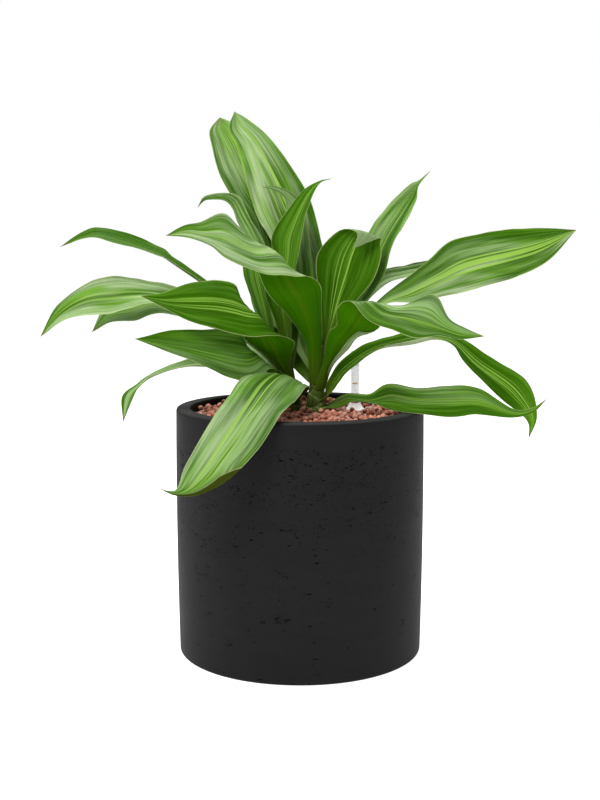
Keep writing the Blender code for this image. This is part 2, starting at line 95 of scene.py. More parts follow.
# Canes: where each axis crosses CANE_LEVEL in millimetres, and the way it leans
CANE_LEVEL = 240
CANES = {
    "a": (np.array((-7.0, 22.0, CANE_LEVEL)), np.array((-7.0, 0.0, 60.0))),
    "b": (np.array((16.0, 14.0, CANE_LEVEL)), np.array((2.0, 0.0, 60.0))),
}
CANE_PROFILE = ((216, 9.5), (240, 9.5), (262, 8.5), (290, 6.0), (316, 3.0))   # height, radius
CANE_SIDES = 72
CANE_BARE = 0.9                    # how much thinner than that a cane is where no sheath covers it
SHEATH_THICK = 0.55
NO_SHEATH = 40                     # stands for a point that lies below no edge
CUT_SHEATH_PLACE = (21.5, 4.5)
CUT_SHEATH_TOP = 248.2
CUT_SHEATH_PROFILE = ((5.0, CUT_SHEATH_TOP), (5.4, 247.6), (5.9, 241.0), (4.6, 241.0), (4.5, 247.8))

# Edges of the leaf sheaths on each cane, from the lowest: height, slant up and down from it, and the
# compass angle at which the edge is highest
SHEATHS = {
    "a": ((246, 3.5, 250), (252, 4.0, 40), (259, 5.0, 200), (267, 5.0, 330), (276, 5.0, 120)),
    "b": ((245, 2.5, 215), (251, 4.5, 20), (257, 5.0, 190), (264, 5.5, 320), (272, 5.0, 140)),
}

# Blades, in millimetres
BASE_GAP = 0.6                     # between a cane and the leaves that clasp it
BASE_WRAP = math.radians(46)       # how far a leaf's foot goes round the cane to each side
CLASP = 22                         # length over which a blade turns from the cane to its own way
TIP_HALF_WIDTH = 0.12
WAVE = 0.07                        # margin wave, as a share of the half width
WAVE_LENGTH = 62
WAVE_START = 30
WAVE_FADE = 40
RIPPLE = 0.026                     # a finer wave at the margins, as a share of the half width
RIPPLE_LENGTH = 23
GUTTER = 1.35                      # power of the curve across a blade: 1 is a sharp valley, 2 a round one
FOOT_GUTTER = 0.65                 # added to it at the foot
FOOT_SHARE = 0.15                  # share of the length over which that fades
ACROSS = 57                        # points across a blade
CROWDING = 0.92                    # how far they crowd at the margins, from 0 to 1
ROW_PITCH = 3.2
FOLDED_ROWS = 0.6                  # share of that pitch where a margin is folded
BLADE_MIDDLE = 0.9                 # thickness at the midrib
BLADE_MARGIN = 0.3
MIDRIB = 0.7                       # what the midrib adds to it
MIDRIB_WIDTH = 0.06                # as a share of the half width
PLEATS = ((2.2, 0.015), (4.7, 0.009))   # folds in each half, and their height as a share of that half

# A leaf is its name, its cane, the height and the compass angle of its foot on the cane, its stations
# from foot to tip, and its looks. A station holds the midrib's x, y and z, the half width as a vector to
# the left margin, and the fold: the midrib's depth below the margins, in per cent of the half width.
# The last station is the tip. Lengths are in millimetres and angles in degrees.
# The looks are how strong the lime stripes, the painted light and the dry tip are, each from 0 to 1. The
# painted light is a painted pale sheen in long patches that also makes the blade glossier; below 0 it is
# painted shade, which makes a leaf deeper green than the others.
LEAVES = (
    # Upright at the back
    ("back_tall", "b", 290, 92, (
        (14, 29, 330, -10, 0, 0, 50), (12, 38, 372, -18, 0, -1, 40), (-3, 52, 414, -26, 0, 1, 22),
        (-20, 66, 457, -27, 0, -10, 12), (-48, 92, 517, -18, 0, -5, 15),
        (-64, 101, 538, -12, 0, -4, 20), (-70, 106, 553)), (1.0, 0.90, 0.1)),
    ("back_left", "a", 283, 92, (
        (-13, 42, 340, -12, 0, -4, 45), (-34, 76, 441, -19, 0, -8, 25), (-51, 96, 472, -22, 0, -9, 15),
        (-65, 112, 500, -23, 0, -10, 12), (-78, 124, 527, -18, 0, -7, 15),
        (-86, 131, 540, -12, 0, -4, 20), (-88, 138, 550)), (0.6, 0.50, 0.3)),
    ("curled_back", "a", 299, 118, (
        (-16, 35, 340, -6, 3, -2, 50), (-46, 50, 413, -7, 14, -3, 30), (-60, 60, 440, -7, 14, -3, 30),
        (-72, 67, 460, -5, 9, -3, 30), (-98, 75, 461, 0, 4, -2, 30), (-108, 77, 451)), (0.3, 0.35, 0.3)),
    ("left_upright", "a", 292, 160, (
        (-30, 30, 322, -4, -3, 0, 50), (-45, 42, 369, -10, 6, -2, 30), (-50, 51, 393, -10, 6, -2, 25),
        (-56, 58, 409, -6, 4, -2, 20), (-59, 62, 416)), (0.5, 0.1, 0.0)),
    # Young leaves in the middle
    ("centre_tip", "a", 305, 50, (
        (-18, 24, 336, -8, 1, 0, 50), (-22, 18, 364, -14, 4, 2, 35), (-16, 12, 398, -13, 10, 2, 30),
        (-13, 8, 422, -14, 10, 2, 30), (4, 0, 458, -6, 6, 3, 30), (18, -4, 473, -1, 1, 1, 20),
        (31, -5, 477)), (0.45, 0.0, 0.4)),
    ("young_curl", "b", 304, 112, (
        (2, 23, 338, -10, 0, 0, 50), (-2, 30, 382, -15, 6, 0, 30), (-4, 34, 415, -14, 8, 0, 25),
        (-4, 36, 445, -10, 6, -1, 25), (-11, 34, 461, -5, 4, -2, 25), (-25, 30, 469, -1, 2, -2, 20),
        (-38, 26, 470)), (0.8, 0.6, 0.1)),
    ("centre_cup", "b", 308, 350, (
        (30, 9, 328, -7, 0, 0, 50), (37, 14, 355, -17, 0, 3, 40), (45, 18, 383, -29, 0, 7, 30),
        (51, 22, 403, -31, 0, 4, 25), (59, 25, 419, -23, 0, 5, 20), (66, 22, 423, -16, -2, 5, 10),
        (64, 13, 419, -6, -2, 4, 0), (53, 10, 408)), (0.9, -0.3, 0.0)),
    # To the right
    ("right_upright", "b", 300, 25, (
        (38, 24, 330, -6, 4, 2, 50), (63, 34, 366, -11, 4, 4, 40), (72, 40, 389, -14, 8, 7, 35),
        (82, 48, 415, -12, 10, 7, 30), (94, 56, 436, -12, 10, 6, 30), (117, 69, 465, -4, 4, 8, 30),
        (124, 73, 476, 0, 2, 3, 20), (137, 77, 489)), (0.9, 0.7, 0.3)),
    ("right_long", "b", 275, 0, (
        (43, 8, 316, -3, 5, 3, 50), (81, 22, 353, -2, 6, 2, 50), (113, 28, 366, -4, 6, 12, 35),
        (142, 30, 380, -7, 8, 19, 20), (174, 30, 394, -11, 8, 25, 12), (238, 26, 410, -7, 6, 19, 15),
        (280, 22, 427)), (1.0, 0.75, 0.3)),
    ("right_behind", "b", 286, 57, (
        (40, 38, 322, -5, 5, 3, 50), (78, 62, 370, -2, 8, 6, 40), (111, 86, 384, -2, 12, 6, 30),
        (178, 120, 392, 0, 8, 5, 20), (208, 130, 394)), (0.5, 0.6, 0.2)),
    ("right_fold", "b", 266, 300, (
        (28, -6, 293, 5, 0, -2, 50), (38, -20, 317, 10, 4, -8, 45), (47, -31, 329, 11, 4, -6, 30),
        (56, -42, 341, 20, 3, -11, 20), (66, -58, 355, 18, 5, -3, -20), (83, -72, 350, 19, 4, 7, 0),
        (103, -84, 349, 16, 2, 16, 10), (118, -94, 345, 10, 0, 19, 12), (133, -101, 337, 5, 0, 8, 15),
        (150, -107, 331, 3, 0, 5, 20), (169, -111, 329)), (0.5, 0.65, 0.5)),
    ("right_droop", "b", 254, 324, (
        (29, 0, 267, -3, 4, 2, 50), (35, -4, 278, -4, 4, 3, 50), (46, -8, 293, -4, 7, 4, 50),
        (72, -19, 312, -4, 9, 3, 40), (101, -28, 320, -6, 10, 4, 30), (128, -36, 325, -2, 10, 4, 30),
        (151, -44, 320, 3, 7, 4, 30), (173, -51, 300, 10, 6, 5, 25), (206, -59, 274, 12, 2, 9, 20),
        (224, -61, 247, 5, 0, 3, 20), (222, -58, 225)), (1.0, -0.1, 0.5)),
    ("right_low", "b", 248, 340, (
        (36, -2, 252, -3, 4, 3, 50), (50, -13, 260, -3, 6, 3, 50), (70, -26, 261, -2, 9, 4, 45),
        (89, -38, 264, -2, 8, 12, 35), (114, -52, 262, -1, 8, 12, 30), (144, -64, 263, -1, 8, 14, 30),
        (170, -74, 264, 2, 6, 12, 25), (202, -82, 254, 0, 2, 4, 20), (220, -84, 257, -1, 0, 2, 20),
        (233, -86, 268)), (0.5, 0.15, 1.0)),
    # To the front
    ("front_fold", "b", 272, 250, (
        (14, 0, 313, 8, 0, 0, 50), (5, -14, 347, 16, 0, 6, 30), (-8, -30, 373, 26, 0, 3, 10),
        (-28, -40, 398, 21, -10, -14, -35), (-48, -47, 408, 10, -6, -22, 0),
        (-71, -51, 420, 3, -8, -22, 12), (-90, -53, 423, 5, -6, -11, 20),
        (-109, -53, 425, 2, -3, -6, 25), (-128, -51, 421)), (0.3, 1.0, 0.4)),
    ("front_droop", "a", 250, 280, (
        (-6, 2, 260, 7, 0, -1, 50), (-8, -18, 271, 16, 0, -3, 20), (-14, -48, 283, 23, 0, -7, -15),
        (-28, -86, 279, 28, 0, -7, -10), (-45, -128, 262, 26, 0, -6, 8),
        (-62, -150, 238, 24, 0, -8, 12), (-82, -164, 212, 20, 0, -5, 15),
        (-98, -170, 197, 10, 0, -3, 20), (-112, -172, 195, 3, 0, -2, 20),
        (-126, -172, 200)), (1.0, 0.60, 1.0)),
    # To the left
    ("left_fold", "a", 274, 260, (
        (-16, 6, 288, 6, 0, 1, 50), (-23, -6, 303, 14, 0, 0, 40), (-30, -26, 320, 24, 0, -1, 10),
        (-44, -40, 337, 17, -8, -13, -35), (-56, -49, 349, 7, -6, -24, 0),
        (-78, -55, 355, 4, -8, -24, 10), (-105, -60, 357, 3, -8, -18, 15),
        (-128, -64, 359, 3, -4, -8, 20), (-151, -66, 364)), (0.6, -0.05, 0.5)),
    ("left_low", "a", 258, 235, (
        (-20, 4, 278, 6, -3, 1, 50), (-32, -12, 290, 12, -3, -3, 30), (-44, -28, 302, 14, -6, -11, -20),
        (-58, -45, 305, 4, -7, -24, 0), (-114, -63, 318, 5, -6, -13, 15),
        (-156, -76, 324)), (0.4, 0.25, 0.3)),
    ("left_far", "b", 273, 156, (
        (-2, 40, 292, -5, -6, -6, 50), (-40, 54, 331, -3, -5, -3, 50), (-126, 50, 393, -1, -8, -1, 40),
        (-149, 50, 407, -2, -11, -4, 30), (-203, 50, 424, 0, -11, -6, 20),
        (-225, 50, 422, 0, -7, -4, 20), (-249, 50, 410)), (0.2, -0.5, 0.6)),
    ("left_big", "a", 284, 208, (
        (-30, 11, 304, -2, -5, -3, 50), (-64, 8, 340, -3, -8, -7, 40), (-108, 0, 357, -1, -14, -7, 30),
        (-146, -6, 365, -3, -14, -9, 20), (-182, -11, 363, -3, -12, -18, 12),
        (-213, -15, 359, 0, -10, -15, 15), (-238, -18, 345, 3, -6, -8, 20),
        (-257, -21, 322)), (0.5, 0.85, 0.6)),
    ("left_under", "a", 278, 158, (
        (-28, 27, 296, -2, -6, -4, 50), (-65, 33, 326, -1, -8, -8, 40),
        (-141, 33, 353, 3, -10, -11, 20), (-173, 31, 348, 3, -8, -13, 15),
        (-197, 29, 342, 3, -6, -9, 20), (-214, 27, 323)), (0.6, 0.5, 0.3)),
    ("left_thin", "a", 267, 160, (
        (-26, 27, 277, -2, -6, -4, 50), (-50, 28, 288, -1, -7, -3, 40), (-96, 24, 293, 2, -8, -5, 35),
        (-125, 18, 290, 3, -8, -1, 30), (-152, 12, 281, 2, -8, 0, 30), (-165, 8, 270, 2, -4, -1, 20),
        (-175, 5, 259, 6, -1, 0, 20), (-180, 2, 233)), (0.5, 0.6, 0.8)),
    # To the rear
    ("rear_left", "a", 258, 88, (
        (-14, 44, 274, -6, -2, 1, 50), (-22, 84, 322, -15, -3, 1, 30), (-31, 140, 356, -21, -4, 0, 15),
        (-38, 190, 352, -19, -4, 0, 15), (-43, 226, 334, -11, -3, 0, 20),
        (-45, 246, 312)), (0.7, 0.6, 0.4)),
    ("rear_right", "b", 263, 68, (
        (20, 38, 296, -7, 1, 0, 50), (25, 84, 340, -16, 2, 1, 30), (29, 142, 362, -23, 2, 0, 15),
        (32, 196, 354, -21, 2, 0, 15), (34, 236, 330, -11, 1, 0, 20),
        (35, 254, 308)), (0.8, 0.7, 0.6)),
    ("rear_upper", "b", 281, 104, (
        (-1, 47, 320, -10, -2, 0, 40), (-4, 80, 374, -14, -3, 2, 30), (-6, 124, 405, -20, -3, 0, 15),
        (-11, 174, 410, -16, -3, 0, 15), (-14, 210, 394, -8, -2, 0, 20),
        (-16, 230, 376)), (0.9, 0.5, 0.2)),
    ("rear_low", "a", 250, 150, (
        (-26, 44, 277, -5, -5, 2, 50), (-50, 76, 302, -11, -9, 4, 30), (-76, 108, 310, -15, -11, 4, 15),
        (-98, 140, 299, -10, -8, 2, 20), (-112, 160, 282)), (0.9, 0.9, 0.2)),
)

# How pale the under face of a leaf is, where it isn't green. Below 0 it is a dark olive.
PALE_BELOW = {
    "young_curl": 0.6, "rear_low": 0.9, "centre_cup": 0.5, "left_thin": 0.7, "right_behind": 0.8,
    "right_droop": 0.9, "left_big": 0.2, "left_far": -0.6, "front_droop": -1.0,
}

# How much more painted light, that is painted sheen, a leaf has at its tip than at its foot, and at its
# left margin than at its right one
PAINTED_LIGHT_SLOPES = {
    "back_tall": (0.2, 1.5), "back_left": (0.6, 0.0), "right_long": (-0.1, -1.4),
    "right_fold": (-1.0, 0.2), "front_fold": (-0.3, 0.8), "front_droop": (0.1, -0.4),
    "left_low": (-0.4, 0.3), "right_low": (-0.5, 0.8), "right_upright": (-0.3, 0.0),
    "left_fold": (-0.2, -0.4),
}

# Margins folded back on the blade: the side (1 left, -1 right), where on the length the fold starts and
# ends, how much of the half width it takes, and the face it lies on (1 upper, -1 under).
FOLDS = {
    "front_droop": (1, 0.76, 0.985, 0.48, 1),
    "right_fold": (1, 0.04, 0.40, 0.60, -1),
    "right_droop": (-1, 0.30, 0.50, 0.50, 1),
}
NO_FOLD = (1, 2, 3, 0, 1)          # one that starts beyond the tip
FOLD_GROWS = 0.07                  # share of the length over which a fold starts
FOLD_FADES = 0.04                  # and over which it ends
FOLD_RETURN = 1.9                  # how fast the turned part comes back over the blade
FOLD_BEND = 0.03                   # width of its bend
FOLD_LIFT = 0.06                   # height of the turned part, as a share of the half width
FOLD_LEAST = 1.2                   # added to it, in millimetres

# Leaf colours that both faces share; the last is also on the canes
LEAF_SHEEN = (0.6, 0.9, 0.1, 1)
LEAF_LIGHT = (0.20, 0.45, 0.008)   # of the light that comes through
MARGIN_COLOUR = (0.50, 0.56, 0.24)
FOOT_COLOUR = (0.085, 0.130, 0.010)
DRY_COLOUR = (0.16, 0.085, 0.030)

# Soft lights: place, size and power. Each looks at LIT_POINT.
LIT_POINT = (0, 0, 0.35)
LIGHTS = {
    "top_panel": ((0.0, 0.8, 1.9), 1.4, 36),
    "front_panel": ((-0.5, -1.25, 1.75), 0.9, 29),
    "left_panel": ((-1.6, 0.1, 1.0), 1.0, 6),
    "right_panel": ((1.6, 0.1, 1.0), 1.0, 1),
}


class Value:
    """A shader socket whose Python arithmetic adds Math nodes."""

    def __init__(self, paint, socket):
        self.paint = paint
        self.socket = socket

    def __add__(self, other):
        return self.paint.math("ADD", self, other)

    def __sub__(self, other):
        return self.paint.math("SUBTRACT", self, other)

    def __rsub__(self, other):
        return self.paint.math("SUBTRACT", other, self)

    def __mul__(self, other):
        return self.paint.math("MULTIPLY", self, other)

    __radd__ = __add__
    __rmul__ = __mul__


class Paint:
    """A material, its Principled shader and the nodes that feed it."""

    def __init__(self, name, **constants):
        self.material = bpy.data.materials.new(name)
        self.material.use_nodes = True
        self.tree = self.material.node_tree
        self.shader = self.tree.nodes["Principled BSDF"]
        for words, value in constants.items():
            self.shader.inputs[words.replace("_", " ")].default_value = value

    def plug(self, socket, value):
        """Give a socket a link or a constant."""
        if isinstance(value, Value):
            self.tree.links.new(value.socket, socket)
        elif isinstance(value, tuple) and len(value) == 3 and socket.type == "RGBA":
            socket.default_value = (*value, 1)
        else:
            socket.default_value = value

    def node(self, kind, settings=None, inputs=None, output=0):
        """Add a node: its settings first, then its sockets by name or number."""
        made = self.tree.nodes.new(kind)
        for words, value in (settings or {}).items():
            setattr(made, words, value)
        for key, value in (inputs or {}).items():
            self.plug(made.inputs[key], value)
        return Value(self, made.outputs[output])

    def math(self, operation, *values):
        return self.node("ShaderNodeMath", {"operation": operation}, dict(enumerate(values)))

    def step(self, value, low, high):
        """A smooth step from 0 at low to 1 at high, which may lie below low."""
        return self.node("ShaderNodeMapRange", {"interpolation_type": "SMOOTHSTEP"},
                         {"Value": value, "From Min": low, "From Max": high})

    def mix(self, factor, first, second, blend="MIX"):
        """Blend two colours."""
        return self.node("ShaderNodeMix", {"data_type": "RGBA", "blend_type": blend},
                         {0: factor, 6: first, 7: second}, 2)

    def vector(self, x, y, z):
        return self.node("ShaderNodeCombineXYZ", None, {0: x, 1: y, 2: z})

    def place(self, scale=(1, 1, 1)):
        """Object coordinates in metres, stretched by a scale."""
        coordinates = self.node("ShaderNodeTexCoord", None, None, "Object")
        return self.node("ShaderNodeMapping", None, {"Vector": coordinates, "Scale": scale})

    def attribute(self, name):
        """The three parts of a vector attribute."""
        held = self.node("ShaderNodeAttribute", {"attribute_name": name}, None, "Vector")
        split = self.node("ShaderNodeSeparateXYZ", None, {0: held}).socket.node
        return [Value(self, out) for out in split.outputs]

    def noise(self, where, scale, detail=2.0, roughness=0.5):
        return self.node("ShaderNodeTexNoise", None,
                         {"Vector": where, "Scale": scale, "Detail": detail, "Roughness": roughness})

    def cells(self, where, scale):
        """Distance to the nearest point of a scattered set, and a chance from 0 to 1 for each point."""
        made = self.node("ShaderNodeTexVoronoi", None, {"Vector": where, "Scale": scale})
        tint = Value(self, made.socket.node.outputs["Color"])
        return made, self.node("ShaderNodeSeparateColor", None, {0: tint})

    def bump(self, height, distance, strength=1.0):
        """Feed the shader's normal from a height."""
        made = self.node("ShaderNodeBump", None,
                         {"Height": height, "Distance": distance, "Strength": strength}, "Normal")
        self.put("Normal", made)

    def put(self, name, value):
        self.plug(self.shader.inputs[name], value)

    def glow_through(self, colour, share):
        """Let part of the light through the surface, in one colour."""
        through = self.node("ShaderNodeBsdfTranslucent", None, {"Color": colour})
        both = self.node("ShaderNodeMixShader", None,
                         {0: share, 1: Value(self, self.shader.outputs[0]), 2: through})
        self.tree.links.new(both.socket, self.tree.nodes["Material Output"].inputs["Surface"])


def add_piece(name, vertices, faces, paint, body, nodes, smooth_angle=None):
    """Make a mesh piece, let it ride on a body and stand for its CAD nodes."""
    mesh = bpy.data.meshes.new(name)
    mesh.from_pydata(vertices, [], faces)
    mesh.materials.append(paint.material)
    mesh.shade_smooth()
    if smooth_angle:
        mesh.set_sharp_from_angle(angle=math.radians(smooth_angle))
    piece = bpy.data.objects.new(name, mesh)
    bpy.context.scene.collection.objects.link(piece)
    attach(piece, body)
    if nodes:
        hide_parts(*nodes)
    return piece


def set_attribute(mesh, name, values):
    """Store one vector for each vertex."""
    layer = mesh.attributes.new(name, "FLOAT_VECTOR", "POINT")
    layer.data.foreach_set("vector", np.asarray(values, np.float32).ravel())


def unit(vectors):
    """Vectors at length one."""
    return vectors / np.linalg.norm(vectors, axis=-1, keepdims=True)


def smooth_step(values, low, high):
    """A smooth step from 0 at low to 1 at high."""
    share = np.clip((values - low) / (high - low), 0, 1)
    return share * share * (3 - 2 * share)


def ring_faces(rows, ring, closed_ends=False):
    """Quads between rings of points. With rows + 1 wrapped to 0 the ends meet too."""
    spans = rows if closed_ends else rows - 1
    i, j = np.meshgrid(np.arange(spans), np.arange(ring), indexing="ij")
    after_i, after_j = (i + 1) % rows, (j + 1) % ring
    corners = (i * ring + j, after_i * ring + j, after_i * ring + after_j, i * ring + after_j)
    return np.stack(corners, axis=-1).reshape(-1, 4)


def turned(profile, steps, centre=(0, 0)):
    """A closed profile of (radius, z) turned about a vertical axis: each of its points, at each angle.

    The profile runs down its outer side. It makes a ring with a hole, so a solid piece starts and ends
    at the radius AXIS.
    """
    profile = np.array(profile)
    angle = np.linspace(0, math.tau, steps, endpoint=False)
    x = centre[0] + profile[:, 0] * np.cos(angle)[:, None]
    y = centre[1] + profile[:, 0] * np.sin(angle)[:, None]
    z = np.broadcast_to(profile[:, 1], x.shape)
    points = np.stack((x, y, z), axis=-1).reshape(-1, 3)
    return points, ring_faces(steps, len(profile), closed_ends=True)[:, ::-1]


def arc(x, z, radius, start, end, count):
    """Points of an arc about (x, z), from one angle in degrees to another."""
    angles = np.radians(np.linspace(start, end, count))
    return list(zip(x + radius * np.cos(angles), z + radius * np.sin(angles)))


def leaf_foot(cane, height, azimuth):
    """The first station of a leaf: the middle and the half width of the arc that clasps the cane."""
    axis_point, way = CANES[cane]
    heights, radii = zip(*CANE_PROFILE)
    radius = np.interp(height, heights, radii) + BASE_GAP
    centre = axis_point + way * ((height - CANE_LEVEL) / way[2])
    out = np.array((math.cos(azimuth), math.sin(azimuth), 0))
    across = np.array((-out[1], out[0], 0))
    middle = centre + out * radius * math.cos(BASE_WRAP)
    half = across * radius * math.sin(BASE_WRAP)
    return (*middle, *half, 100 * math.tan(BASE_WRAP / 2))


def leaf_stations(cane, height, azimuth, stations):
    """All stations of a leaf: its foot, the listed ones, and the tip in the width of TIP_HALF_WIDTH."""
    last = stations[-2]
    narrow = unit(np.array(last[3:6], float)) * TIP_HALF_WIDTH
    tip = (*stations[-1], *narrow, last[6])
    return np.array([leaf_foot(cane, height, azimuth), *stations[:-1], tip], float)


def smooth_stations(stations, dense=48):
    """A Catmull-Rom curve through the stations, and the length of midrib up to each of its points."""
    ends = [2 * stations[0] - stations[1], *stations, 2 * stations[-1] - stations[-2]]
    s = np.linspace(0, 1, dense, endpoint=False)[:, None]
    spans = []
    for before, start, end, after in zip(ends, ends[1:], ends[2:], ends[3:]):
        spans.append(start + (end - before) * s / 2
                     + (2 * before - 5 * start + 4 * end - after) * s**2 / 2
                     + (after - before - 3 * end + 3 * start) * s**3 / 2)
    curve = np.vstack([*spans, stations[-1:]])
    steps = np.linalg.norm(np.diff(curve[:, :3], axis=0), axis=1)
    return curve, np.concatenate(([0], np.cumsum(steps)))


def folded_margin(name, u, share):
    """Where each column of a blade lies across it, as a share of the half width, and how far it is turned.

    Without a fold a column lies at u. With one, the columns up to the fold line are spread to the
    blade's margin, and those beyond it turn over a small bend and come back. The turn goes from 0 to 1
    over the bend, or to -1 under the blade.
    """
    side, start, end, take, face = FOLDS.get(name, NO_FOLD)
    reach = smooth_step(share, start, start + FOLD_GROWS) * smooth_step(share, end, end - FOLD_FADES)
    line = 1 - take / 2 * reach[:, None]
    beyond = np.clip(u * side - line, 0, None)
    out = np.where(beyond > 0, 1 - beyond * FOLD_RETURN, np.clip(u * side, None, line) / line)
    out = np.where(u * side < 0, u * side, out) * side
    return out, face * smooth_step(beyond, 0, FOLD_BEND)


def leaf_phase(name):
    """A number of its own for each leaf, from the letters of its name."""
    return 0.37 * sum(map(ord, name))


def add_waves(rise, out, s, width, phase):
    """Add to the rise of a blade, with heights as shares of the half width.

    At the margins there is a long wave, cubed from the midrib out, and a ripple of two wave lengths,
    to the fifth power. Low pleats run along the blade and sway a little: the cosine of out.
    """
    fade = np.clip((s - WAVE_START) / WAVE_FADE, 0, 1)
    tall = (width * fade)[:, None]
    s = s[:, None]
    swing = np.sin(math.tau * s / WAVE_LENGTH + phase + 1.9 * smooth_step(out, -0.2, 0.2))
    rise += WAVE * tall * np.abs(out) ** 3 * swing
    ripple = np.sin(math.tau * s / RIPPLE_LENGTH + 2.3 * phase + 2 * out) * np.sin(s / 31 + phase)
    rise += RIPPLE * tall * np.abs(out) ** 5 * ripple
    for count, high in PLEATS:
        sway = count * phase + 0.8 * np.sin(s / 45 + count)
        swell = 0.65 + 0.35 * np.sin(s / 37 + 2 * count + phase)
        rise += high * tall * swell * np.cos(math.tau * count * out + sway)
    return rise


def blade(name, cane, height, azimuth, stations):
    """The closed skin of a blade, in millimetres, and the place of each point on it.

    The upper face is a grid over the midrib's length s and u from -1 at the right margin to 1 at the
    left: midrib + out * half width + rise * the way up. out is u, but for a folded margin. rise is the
    lift of such a margin, less the fold's depth times 1 - |out| to a power, and the waves. At the foot
    the way up is towards the cane. The under face lies below along the normals, by a thickness that
    thins to the margins and the tip. A ring goes over the upper face and back under.
    """
    curve, along = smooth_stations(leaf_stations(cane, height, azimuth, stations))
    length = along[-1]
    rows = round(length / (ROW_PITCH * (FOLDED_ROWS if name in FOLDS else 1)))
    s = np.linspace(0, length, rows)
    read = np.stack([np.interp(s, along, column) for column in curve.T], axis=1)
    midrib, half, fold = read[:, :3], read[:, 3:6], read[:, 6] / 100
    width = np.linalg.norm(half, axis=1)
    inward = -np.array((math.cos(azimuth), math.sin(azimuth), 0))
    clasp = np.clip(1 - s / CLASP, 0, 1)[:, None]
    up = unit(np.cross(unit(np.gradient(midrib, axis=0)), half))
    up = unit((1 - clasp) * up + clasp * inward)
    u = np.sin(np.linspace(-1, 1, ACROSS) * math.pi / 2 * CROWDING) / math.sin(math.pi / 2 * CROWDING)
    power = GUTTER + FOOT_GUTTER * np.clip(1 - s / length / FOOT_SHARE, 0, 1)
    out, turn = folded_margin(name, u, s / length)
    lift = turn * (FOLD_LIFT * width + FOLD_LEAST)[:, None]
    rise = lift - (fold * width)[:, None] * (1 - np.abs(out) ** power[:, None])
    rise = add_waves(rise, out, s, width, leaf_phase(name))
    upper = midrib[:, None] + out[..., None] * half[:, None] + rise[..., None] * up[:, None]
    normal = unit(np.cross(np.gradient(upper, axis=0), np.gradient(upper, axis=1)))
    slim = smooth_step(width, 0.1, 6.0)[:, None]
    rib = MIDRIB * np.exp(-((u / MIDRIB_WIDTH) ** 2)) * np.clip(1 - s / length, 0, 1)[:, None]
    thick = BLADE_MARGIN + (BLADE_MIDDLE - BLADE_MARGIN) * (1 - u**4)
    thick = thick * (0.25 + 0.75 * slim) + rib * slim
    under = upper - normal * thick[..., None]
    skin = np.concatenate((upper, under[:, ::-1]), axis=1)
    where = np.stack(np.broadcast_arrays(np.concatenate((u, u[::-1])), (s / length)[:, None], 0.0), axis=-1)
    return skin, where, width, length


def blade_faces(rows):
    """Quads of a blade's rings, and a strip that closes each end between the upper and the under face."""
    ring = 2 * ACROSS
    j = np.arange(ACROSS - 1)
    foot = np.stack((j, j + 1, ring - 2 - j, ring - 1 - j), axis=-1)
    tip = foot[:, ::-1] + (rows - 1) * ring
    return np.concatenate((ring_faces(rows, ring), foot, tip))


def add_leaf(leaf, upper_paint, under_paint):
    """One leaf: its skin, with one paint above and one below, and the attributes that its colours read.

    They are the place (across, along, how pale it is below), the looks, with the painted light (a painted
    sheen, and painted shade below 0) sloping along and across the blade, and the size (half width, length,
    a tone of its own).
    """
    name, cane, height, azimuth, stations, looks = leaf
    skin, where, width, length = blade(name, cane, height, math.radians(azimuth), stations)
    faces = blade_faces(len(skin))
    piece = add_piece(f"blade_{name}", skin.reshape(-1, 3) * MM, faces, upper_paint, BODY,
                      [f"leaf_{name}"], 50)
    piece.data.materials.append(under_paint.material)
    below = (faces % (2 * ACROSS) >= ACROSS).all(axis=1)
    piece.data.polygons.foreach_set("material_index", below.astype(np.int32))
    where[..., 2] = PALE_BELOW.get(name, 0)
    tone = leaf_phase(name) % 1.0
    shape = skin.shape[:2]
    size = np.stack(np.broadcast_arrays(width[:, None] * MM, length * MM, np.full(shape, tone)), axis=-1)
    set_attribute(piece.data, "place", where)
    painted = np.broadcast_to(looks, skin.shape).copy()
    grow, lean = PAINTED_LIGHT_SLOPES.get(name, (0, 0))
    painted[..., 1] += grow * (where[..., 1] - 0.5) + lean * where[..., 0] / 2
    set_attribute(piece.data, "looks", painted)
    set_attribute(piece.data, "size", size)
    return piece


def leaf_grain(paint):
    """What the colours of both faces read: the place on the blade, its looks, and its lime streaks.

    streaks makes a noise with so many waves across the half width and so many in a metre along. The
    lime lies near the midrib, where such a noise is high.
    """
    across, along, pale = paint.attribute("place")
    # The second look is the painted light: a painted sheen, and painted shade where it is below 0
    stripes, painted_light, dry = paint.attribute("looks")
    width, length, tone = paint.attribute("size")
    run = along * length
    seed = tone * 40

    def streaks(waves_across, waves_along, detail):
        where = paint.vector(across * waves_across + seed, run * waves_along, seed)
        return paint.noise(where, 1, detail)

    near = paint.step(paint.math("ABSOLUTE", across), 0.46, 0.18)
    lime = paint.step(streaks(15, 3, 1) + near * 0.05, 0.555, 0.63) * near
    return across, along, run, streaks, lime * stripes, painted_light, dry, width, pale


def finish_leaf(paint, colour, across, along, run, threads, hairs, dry, width):
    """Pale margins, an olive foot and a dry tip; then fine veins in relief and light through the blade."""
    edge = paint.math("ABSOLUTE", across)
    colour = paint.mix(paint.step(edge, 0.970, 0.990) * 0.6, colour, MARGIN_COLOUR)
    colour = paint.mix(paint.step(run, 0.050, 0.0) * 0.75, colour, FOOT_COLOUR)
    burnt = paint.step(along + (threads - 0.5) * 0.03, 0.965, 0.99) * dry
    paint.put("Base Color", paint.mix(burnt, colour, DRY_COLOUR))
    ribs = (threads + hairs * 0.2) * (1 - paint.step(edge, 0.85, 1.0)) * paint.step(width, 0.003, 0.012)
    paint.bump(ribs * width, 0.018, 0.8)
    paint.glow_through(LEAF_LIGHT, 0.12)
    return paint


